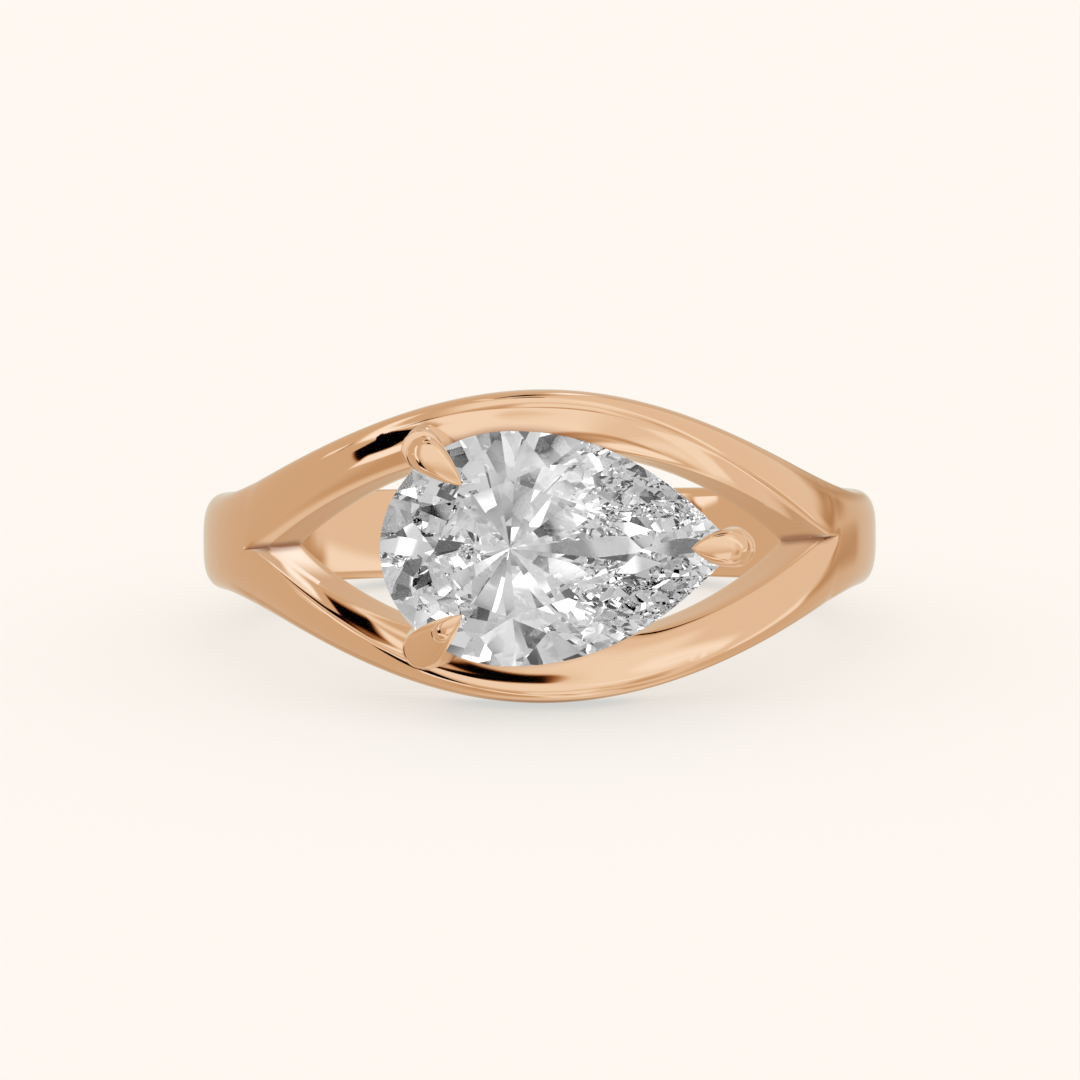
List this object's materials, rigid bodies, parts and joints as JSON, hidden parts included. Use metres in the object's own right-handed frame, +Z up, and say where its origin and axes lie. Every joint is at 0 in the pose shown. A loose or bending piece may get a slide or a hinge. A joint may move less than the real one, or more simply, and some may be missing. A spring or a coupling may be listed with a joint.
{
  "type": "split shank engagement ring",
  "caption": "Finger ring whose shank splits at the front into twisted arms round a sideways pear-cut stone, which claws hold above them.",
  "frame": {"origin": "middle of the ring's outline on the surface that it lies on", "axes": "+Z up from that surface, -Y towards the stone's side, +X towards the point of the pear; the finger axis leans back from +Z by the angle at which the ring lies"},
  "size_m": [0.0208, 0.0238, 0.0092],
  "materials": {
    "rose_gold": "polished",
    "stone": "polished"
  },
  "bodies": {
    "root": {"ring_setting": "rose_gold", "pear_stone": "stone"}
  },
  "joints": []
}
